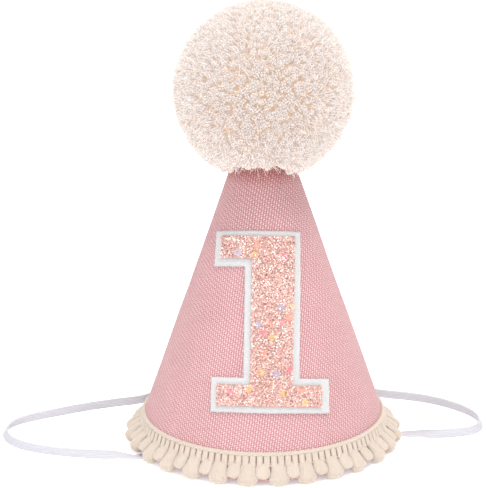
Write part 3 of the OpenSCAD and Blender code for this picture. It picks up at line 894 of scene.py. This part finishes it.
def make_specks():
    """Loose glitter: thousands of small flat flakes, each tilted its own way."""
    rng = np.random.default_rng(11)
    places = lean_flat(scattered_in(FACE_OUTLINE, SPECKS, 0.25, rng))
    n = len(places)
    here, across, down, out = surface_frame(places, GLITTER_LIFT + GLITTER_T + 0.02)
    tilt = rng.normal(0, 0.28, (n, 2))
    normal = unit(out + across * tilt[:, :1] + down * tilt[:, 1:])
    first = unit(np.cross(normal, down))
    second = np.cross(normal, first)
    size = rng.uniform(0.16, 0.36, (n, 1))
    spin = rng.uniform(0, 2 * np.pi, (n, 1))
    corners = []
    for k in range(6):
        a = spin + k * np.pi / 3
        corners.append(here + (first * np.cos(a) + second * np.sin(a)) * size)
    # A third of the flakes lie higher, over the confetti
    over = OVER_CONFETTI * (rng.uniform(0, 1, (n, 1, 1)) < 0.33)
    top = np.stack(corners, 1) + normal[:, None] * (SPECK_T + size[:, None] * 0.35 + over)
    bottom = top - normal[:, None] * SPECK_T
    points = np.concatenate([top, bottom], 1)
    base = (np.arange(n) * 12)[:, None, None]
    faces = [[0, 1, 2, 3], [0, 3, 4, 5], [9, 8, 7, 6], [11, 10, 9, 6]]
    faces += [[k, k + 6, (k + 1) % 6 + 6, (k + 1) % 6] for k in range(6)]
    quads = (np.array(faces)[None] + base).reshape(-1, 4)
    tone = np.repeat(rng.uniform(0, 1, n), 12)
    specks = make_mesh("glitter_specks", points.reshape(-1, 3), quads, smooth=False,
                       floats={"tone": tone})
    dress(specks, "specks")


def make_numeral():
    """The felt numeral, the smaller one of glitter sheet on it, and the loose glitter."""
    backing = wrapped_numeral("felt_numeral", FELT_OUTLINE, 0.5, FELT_LIFT, FELT_T, 0.9, 0.05, 31)
    dress(backing, "felt", node="number_backing")
    face = wrapped_numeral("glitter_numeral", FACE_OUTLINE, 0.45, GLITTER_LIFT, GLITTER_T, 0.35,
                           0.05, 41)
    dress(face, "glitter", node="number_face")
    make_specks()


make_numeral()


# ---- Pom-pom ----

def even_directions(count):
    """Directions spread evenly over a sphere."""
    k = np.arange(count) + 0.5
    z = 1 - 2 * k / count
    angle = np.pi * (1 + 5 ** 0.5) * k
    r = np.sqrt(1 - z * z)
    return np.stack([r * np.cos(angle), r * np.sin(angle), z], -1)


def clear_of_cone(points, gap):
    """Moves points that are nearer the linen than gap out to it, square to the linen. The gap widens
    upwards, because the ball rocks on its tie."""
    gap = gap + ROCK_ROOM * np.clip(points[..., 2] - ROCK_Z, 0, None)
    r = np.hypot(points[..., 0], points[..., 1])
    lift = (r - cone_r(points[..., 2])) * COS_HALF
    push = np.maximum(gap - lift, 0)
    over_tip = points[..., 2] > TIP_Z + gap
    push = np.where(over_tip, 0, push)[..., None]
    out = points * [1, 1, 0] / np.maximum(r, 1e-6)[..., None]
    return points + (out * COS_HALF + np.array([0, 0, SIN_HALF])) * push


def ball_foot(x, y):
    """The height at which the ball's yarn ends round the cone: a flat front with one tuft that hangs
    lower to its right, and rounder sides and back."""
    turn = np.arctan2(x, -y)
    return np.interp(turn, [-np.pi, -1.2, -0.85, -0.6, 0.3, 0.5, 0.62, 0.8, 1.1, np.pi],
                     [114.5, 113.5, 115.5, 119.2, 119.4, 118.0, 114.6, 116.0, 113.5, 114.5])


# The places along a strand of its rings, which are closer together at its rounded end
STRAND_STEPS = np.array([0.0, 0.4, 0.7, 0.9, 1.0])
STRANDS = 3700
STRAND_START = 27.0
PLIES = 4
PLY_R = 0.5
PLY_SPREAD = 0.52
CORE_R = 32.2
CORE_FOOT_Z = 121.0
FIBRES = 16000
FIBRE_LENGTH = 4.0
CLUMP_SEED = 71


def yarn_strands(count, rng, inner, outer):
    """Centre lines of cut yarn ends that stand out of the ball, gathered into loose clumps."""
    directions = unit(even_directions(count) + rng.normal(0, 0.014, (count, 3)))
    places = directions * 35
    clump = vector_noise(places, 12.0, CLUMP_SEED) * 2.0 + vector_noise(places, 5.0, CLUMP_SEED + 3)
    clump -= directions * np.sum(clump * directions, -1, keepdims=True)
    stray = rng.normal(0, 0.8, (count, 3))
    length = outer + value_noise(places, 8.0, CLUMP_SEED + 6) * 0.3 + rng.normal(0, 0.3, count)
    foot = ball_foot(directions[:, 0], directions[:, 1]) + rng.normal(0, 0.5, count) - BALL_Z
    to_foot = foot / np.minimum(directions[:, 2], -0.05)
    length = np.minimum(length, np.maximum(to_foot, 15.0))
    t = STRAND_STEPS[None, :, None]
    start = np.minimum(inner, length - 5.0)[:, None, None]
    radius = start + (length[:, None, None] - start) * t
    lines = directions[:, None] * radius + (clump + stray)[:, None] * t ** 2
    lines *= radius / np.linalg.norm(lines, axis=-1, keepdims=True)
    lines[..., 2] += BALL_Z
    tip = lines[:, -1]
    tip_lift = (np.hypot(tip[:, 0], tip[:, 1]) - cone_r(tip[:, 2])) * COS_HALF
    keep = (tip_lift > BALL_GAP - 3.0) | (tip[:, 2] > TIP_Z + 6)
    return clear_of_cone(lines[keep], BALL_GAP + 0.8)


def plied(lines, rng, turns):
    """Plies wound round each line, which part a little at its outer end."""
    first, second = tube_frames(lines)
    t = STRAND_STEPS[None, :]
    start = rng.uniform(0, 2 * np.pi, (len(lines), 1)) + turns * 2 * np.pi * t
    apart = (PLY_SPREAD * (1 + 0.35 * np.clip(t - 0.7, 0, 1) / 0.3))[..., None]
    wound = []
    for k in range(PLIES):
        phase = (start + k * 2 * np.pi / PLIES)[..., None]
        wound.append(lines + (first * np.cos(phase) + second * np.sin(phase)) * apart)
    return np.concatenate(wound)


def make_ball():
    """The yarn ball in sectors round its axis, each a mesh of plied yarn ends."""
    rng = np.random.default_rng(7)
    plies = plied(yarn_strands(STRANDS, rng, STRAND_START, BALL_R - 0.5), rng, 0.3)
    n, m, _ = plies.shape
    t = STRAND_STEPS[None]
    swell = PLY_R + 0.08 * t - 0.3 * np.clip((t - 0.88) / 0.12, 0, 1) ** 2
    radii = swell * rng.uniform(0.85, 1.15, (n, 1))
    tone = np.clip(rng.normal(0.6, 0.25, n), 0, 1)
    tip = plies[:, -1]
    quarter = np.floor((np.arctan2(tip[:, 1], tip[:, 0]) + np.pi) / (2 * np.pi) * 4).astype(int)
    # along runs from root to tip; the darker colour towards the root is painted shade deep in the ball
    along = np.broadcast_to(t, (n, m))
    for k in range(4):
        pick = (quarter + 2) % 4 == k
        floats = {"tone": tone[pick], "along": along[pick]}
        ball = make_joined(f"yarn_ball_{k + 1}", [tubes(plies[pick], radii[pick], 5, floats)])
        dress(ball, "yarn", BALL_BODY, node=None if k else "pompom_yarn")


def make_ball_core():
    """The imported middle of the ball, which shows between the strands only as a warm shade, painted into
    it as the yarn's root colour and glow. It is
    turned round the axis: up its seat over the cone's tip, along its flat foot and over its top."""
    columns = 96
    seat_z = np.linspace(TIP_Z + 2.5, CORE_FOOT_Z, 8)
    rim = math.acos((CORE_FOOT_Z - BALL_Z) / CORE_R)
    polar = np.linspace(rim, 0.03, 44)
    r = np.concatenate([[0.4], cone_r(seat_z, BALL_GAP - 0.3), CORE_R * np.sin(polar)])
    z = np.concatenate([[TIP_Z + 3.5], seat_z, BALL_Z + CORE_R * np.cos(polar)])
    angle = ring_angles(columns)
    rings = np.stack([r[:, None] * np.cos(angle), r[:, None] * np.sin(angle),
                      z[:, None] + 0 * angle], -1)
    outside = rings[len(seat_z) + 2:] - [0, 0, BALL_Z]
    lumps = 0.9 * value_noise(outside, 2.4, 90) + 0.5 * value_noise(outside, 5.0, 91)
    rings[len(seat_z) + 2:] += unit(outside) * lumps[..., None]
    ends = np.stack([rings[0].mean(0), rings[-1].mean(0)])
    points, quads, caps = capped_rings(rings[None], ends[None])
    # along 0.15 gives the yarn's dark root colour and warm glow: painted shade and light between the
    # strands
    core = make_mesh("yarn_core", points, quads, caps,
                     floats={"tone": np.full(len(points), 0.4), "along": np.full(len(points), 0.15)})
    dress(core, "yarn", BALL_BODY)


def make_fuzz():
    """Fine stray fibres that soften the ball's outline."""
    rng = np.random.default_rng(17)
    lines = yarn_strands(FIBRES, rng, BALL_R - FIBRE_LENGTH, BALL_R + 0.4)
    bend = rng.normal(0, 1.4, (len(lines), 1, 3)) * np.linspace(0, 1, lines.shape[1])[None, :, None] ** 2
    lines = clear_of_cone((lines + bend)[:, 1:], BALL_GAP + 0.2)
    n, m, _ = lines.shape
    radii = np.broadcast_to(np.linspace(0.09, 0.05, m)[None], (n, m))
    floats = {"tone": np.ones(n), "along": np.ones(n)}
    fuzz = make_joined("yarn_fuzz", [tubes(lines, radii, 3, floats)])
    dress(fuzz, "yarn_fuzz", BALL_BODY)


make_ball()
make_ball_core()
make_fuzz()


# ---- Trim ----

def yarn_bodies(angles, profile, columns, strands, groove, rng, splay=0.0):
    """Bunches of yarn hanging on the cone, one at each angle, as (points, quads, triangles, floats).
    profile has a row for each level: height, radius from the cone's axis, half width along the
    hem and half depth. Each bunch's surface is grooved between its strands, and its colour is darker in
    the grooves as painted shade. splay is how far the bunches at the hat's sides stand further out."""
    z, r, wide, deep = (np.array(profile, float).T)[:, None, :, None]
    r = r + splay * np.cos(angles[:, None, None]) ** 2 * np.clip((HEADER_LOW_Z - z) / 4, 0, 1)
    n, rows = len(angles), len(profile)
    turn = ring_angles(columns)
    phase = rng.uniform(0, 2 * np.pi, (n, 1, 1))
    drift = rng.normal(0, 0.5, (n, 1, 1)) * np.linspace(-1, 1, rows)[None, :, None]
    sway = 0.35 * np.sin(turn * 3 + rng.uniform(0, 6, (n, 1, 1)) + np.linspace(0, 2, rows)[None, :, None])
    ridge = np.abs(np.sin((turn * strands + phase) / 2 + drift + sway))
    swell = (1 - groove) + groove * ridge + rng.normal(0, groove * 0.12, (n, rows, columns))
    size = 1 + rng.normal(0, 0.03, (n, 1, 1))
    side = wide * np.cos(turn) * swell * size
    out = r + deep * np.sin(turn) * swell * size
    height = z + rng.normal(0, 0.04, (n, rows, columns)) + 0 * side
    wall = cone_r(height, 0.1)
    out = np.where(height > HEM_Z, np.maximum(out, wall), out)
    height = np.maximum(height, 0.05)
    around = angles[:, None, None] + side / out
    points = np.stack([out * np.cos(around), out * np.sin(around), height], -1)
    ends = np.stack([points[:, 0].mean(1), points[:, -1].mean(1)], 1)
    # Painted shade: along, and so the colour, is lower in the grooves between the strands
    along = np.concatenate([(0.68 + 0.32 * ridge ** 0.6).reshape(n, -1), np.full((n, 2), 0.7)], 1)
    tone = np.clip(rng.normal(0.65, 0.15, (n, 1)) + 0 * along, 0, 1)
    return (*capped_rings(points, ends), {"along": along.ravel(), "tone": tone.ravel()})


def nap(points, count, length, radius, rng):
    """Short fine fibres that stand out of a yarn surface at random places."""
    pick = rng.integers(0, len(points), count)
    root = points[pick]
    lean = unit(rng.normal(0, 1, (count, 3)) + unit(root * [1, 1, 0]) * 0.8)
    t = np.linspace(0, 1, 3)[None, :, None]
    curl = rng.normal(0, 0.35, (count, 1, 3)) * t ** 2
    lines = root[:, None] + lean[:, None] * t * rng.uniform(0.4, 1, (count, 1, 1)) * length + curl * length
    lines[..., 2] = np.maximum(lines[..., 2], 0.08)
    radii = np.broadcast_to(np.array([1.0, 0.8, 0.5]) * radius, (count, 3))
    return tubes(lines, radii, 3, {"along": np.ones(count), "tone": np.ones(count)})


def make_twisted_cord(name, node, plies, twists, angle, z, lift, spread, radius, sides, floats):
    """Plies twisted into a cord round the cone. spread is how far each ply swings in height and in
    lift, and floats has its tone and a function of the twist that gives its along."""
    parts = []
    for k in range(plies):
        twist = angle * twists + k * 2 * np.pi / plies
        line = on_cone(angle, z + spread[0] * np.sin(twist), lift + spread[1] * np.cos(twist))
        parts.append(tubes(line[None], np.full((1, len(angle)), radius), sides,
                           {"tone": np.array([floats[0]]), "along": floats[1](twist)[None]}))
    cord = make_joined(name, parts)
    dress(cord, "trim", node=node)


def make_top_cord():
    """Three plies with a scallop to each bar."""
    angle = np.linspace(0, 2 * np.pi, BARS * 12 + 1)
    scallop = 0.14 * np.abs(np.sin(angle * BARS / 2))
    # The plies are darker where they twist in towards the linen: painted shade
    make_twisted_cord("header_cord", "trim_top_cord", 3, BARS * 2 / 3, angle, HEADER_TOP_Z + scallop, 0.85,
                      (0.4, 0.34), 0.45, 8, (0.7, lambda twist: 0.9 + 0.1 * np.cos(twist)))


def make_bars():
    """The upright bars of the header, each of a few strands."""
    rng = np.random.default_rng(23)
    levels = np.linspace(HEADER_TOP_Z - 0.4, HEADER_LOW_Z - 0.6, 8)
    profile = []
    for k, z in enumerate(levels):
        half_w = 1.42 - 0.20 * math.sin(math.pi * k / 7) ** 0.5
        profile.append((z, cone_r(z, 0.85), half_w, 0.55))
    bars = make_joined("header_bars", [yarn_bodies(ring_angles(BARS, 0.5), profile, 24, 7, 0.16, rng)])
    dress(bars, "trim", node="trim_bars")


def make_shade_tape():
    """A thin dark sheet behind the bars, in the yarn's root colour, as painted shade in the slits between
    them.
    """
    angle = ring_angles(3 * BARS)[None]
    low_z = HEADER_LOW_Z - 2.4
    z = np.array([low_z, HEADER_TOP_Z, HEADER_TOP_Z, low_z])[:, None] + 0 * angle
    lift = np.array([0.3, 0.3, 0.62, 0.62])[:, None] + 0 * angle
    points = on_cone(angle + 0 * z, z, lift).reshape(-1, 3)
    # along 0.1 gives the dark root colour: painted shade behind the bars
    tape = make_mesh("header_shade_tape", points, section_quads(4, 3 * BARS),
                     floats={"tone": np.full(len(points), 0.2), "along": np.full(len(points), 0.1)})
    dress(tape, "trim")


def make_cross_thread():
    """Two fine plies that bind the bars to the tufts."""
    angle = np.linspace(0, 2 * np.pi, BARS * 8 + 1)
    make_twisted_cord("header_thread", "trim_cross_thread", 2, BARS, angle, HEADER_LOW_Z, 0.8,
                      (0.16, 0.16), 0.17, 6, (0.6, lambda twist: 0.85 + 0 * twist))


# Each level of a large pom-pom: height, distance from the cone's axis, half width, half depth
LARGE_LEVELS = [
    (8.3, 49.3, 0.9, 0.4), (7.95, 49.6, 1.8, 0.7), (7.4, 50.05, 2.55, 1.0), (6.7, 50.6, 2.9, 1.3),
    (6.0, 51.1, 2.95, 1.45), (5.3, 51.5, 3.05, 1.7), (4.7, 51.9, 3.35, 1.95), (4.1, 52.1, 3.65, 2.2),
    (3.5, 52.3, 3.9, 2.4), (2.9, 52.4, 4.0, 2.5), (2.3, 52.3, 3.95, 2.55), (1.7, 52.2, 3.75, 2.5),
    (1.15, 52.1, 3.35, 2.3), (0.7, 52.0, 2.8, 1.9), (0.35, 51.9, 2.0, 1.4), (0.12, 51.8, 1.1, 0.8)]
# The same for a small tuft
SMALL_LEVELS = [
    (8.3, 49.3, 0.8, 0.4), (7.95, 49.6, 1.5, 0.7), (7.4, 50.0, 2.2, 0.95), (6.7, 50.5, 2.7, 1.2),
    (6.1, 50.9, 2.95, 1.35), (5.5, 51.3, 3.1, 1.5), (4.9, 51.7, 3.2, 1.6), (4.4, 52.0, 3.2, 1.65),
    (3.9, 52.2, 3.0, 1.6), (3.5, 52.2, 2.6, 1.4), (3.2, 52.2, 2.0, 1.1), (3.05, 52.2, 1.2, 0.7)]


def make_tufts(name, node, levels, offset, columns, strands, seed):
    """The trim's hanging bunches, one to each unit, with a nap of fine fibres."""
    rng = np.random.default_rng(seed)
    angles = ring_angles(TRIM_UNITS, offset) + rng.normal(0, 0.004, TRIM_UNITS)
    bodies = yarn_bodies(angles, levels, columns, strands, 0.10, rng, splay=1.6)
    fibres = nap(bodies[0], TRIM_UNITS * 60, 1.0, 0.045, rng)
    tufts = make_joined(name, [bodies, fibres])
    dress(tufts, "trim", node=node)


make_top_cord()
make_bars()
make_shade_tape()
make_cross_thread()
make_tufts("large_tufts", "trim_large_pompoms", LARGE_LEVELS, 0.5, 120, 34, 51)
make_tufts("small_tufts", "trim_small_tufts", SMALL_LEVELS, 0.0, 84, 24, 61)


# ---- CAD nodes that stay ----

KEPT = {
    "stiffener_cone": "card", "pompom_binding": "tie_yarn", "tie_cord": "tie_yarn",
    "tie_washer": "felt", "tie_knot": "tie_yarn", "tie_tails": "tie_yarn", "strap_tab_left": "felt",
    "strap_tab_right": "felt", "strap_tack_left": "thread", "strap_tack_right": "thread",
    "confetti_gold": "flake_gold", "confetti_coral": "flake_coral", "confetti_pink": "flake_pink",
    "confetti_lilac": "flake_lilac",
}


def dress_kept():
    """Gives the CAD's own nodes their materials."""
    for node, name in KEPT.items():
        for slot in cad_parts[node].material_slots:
            slot.link = "OBJECT"
            slot.material = MATERIALS[name]


dress_kept()
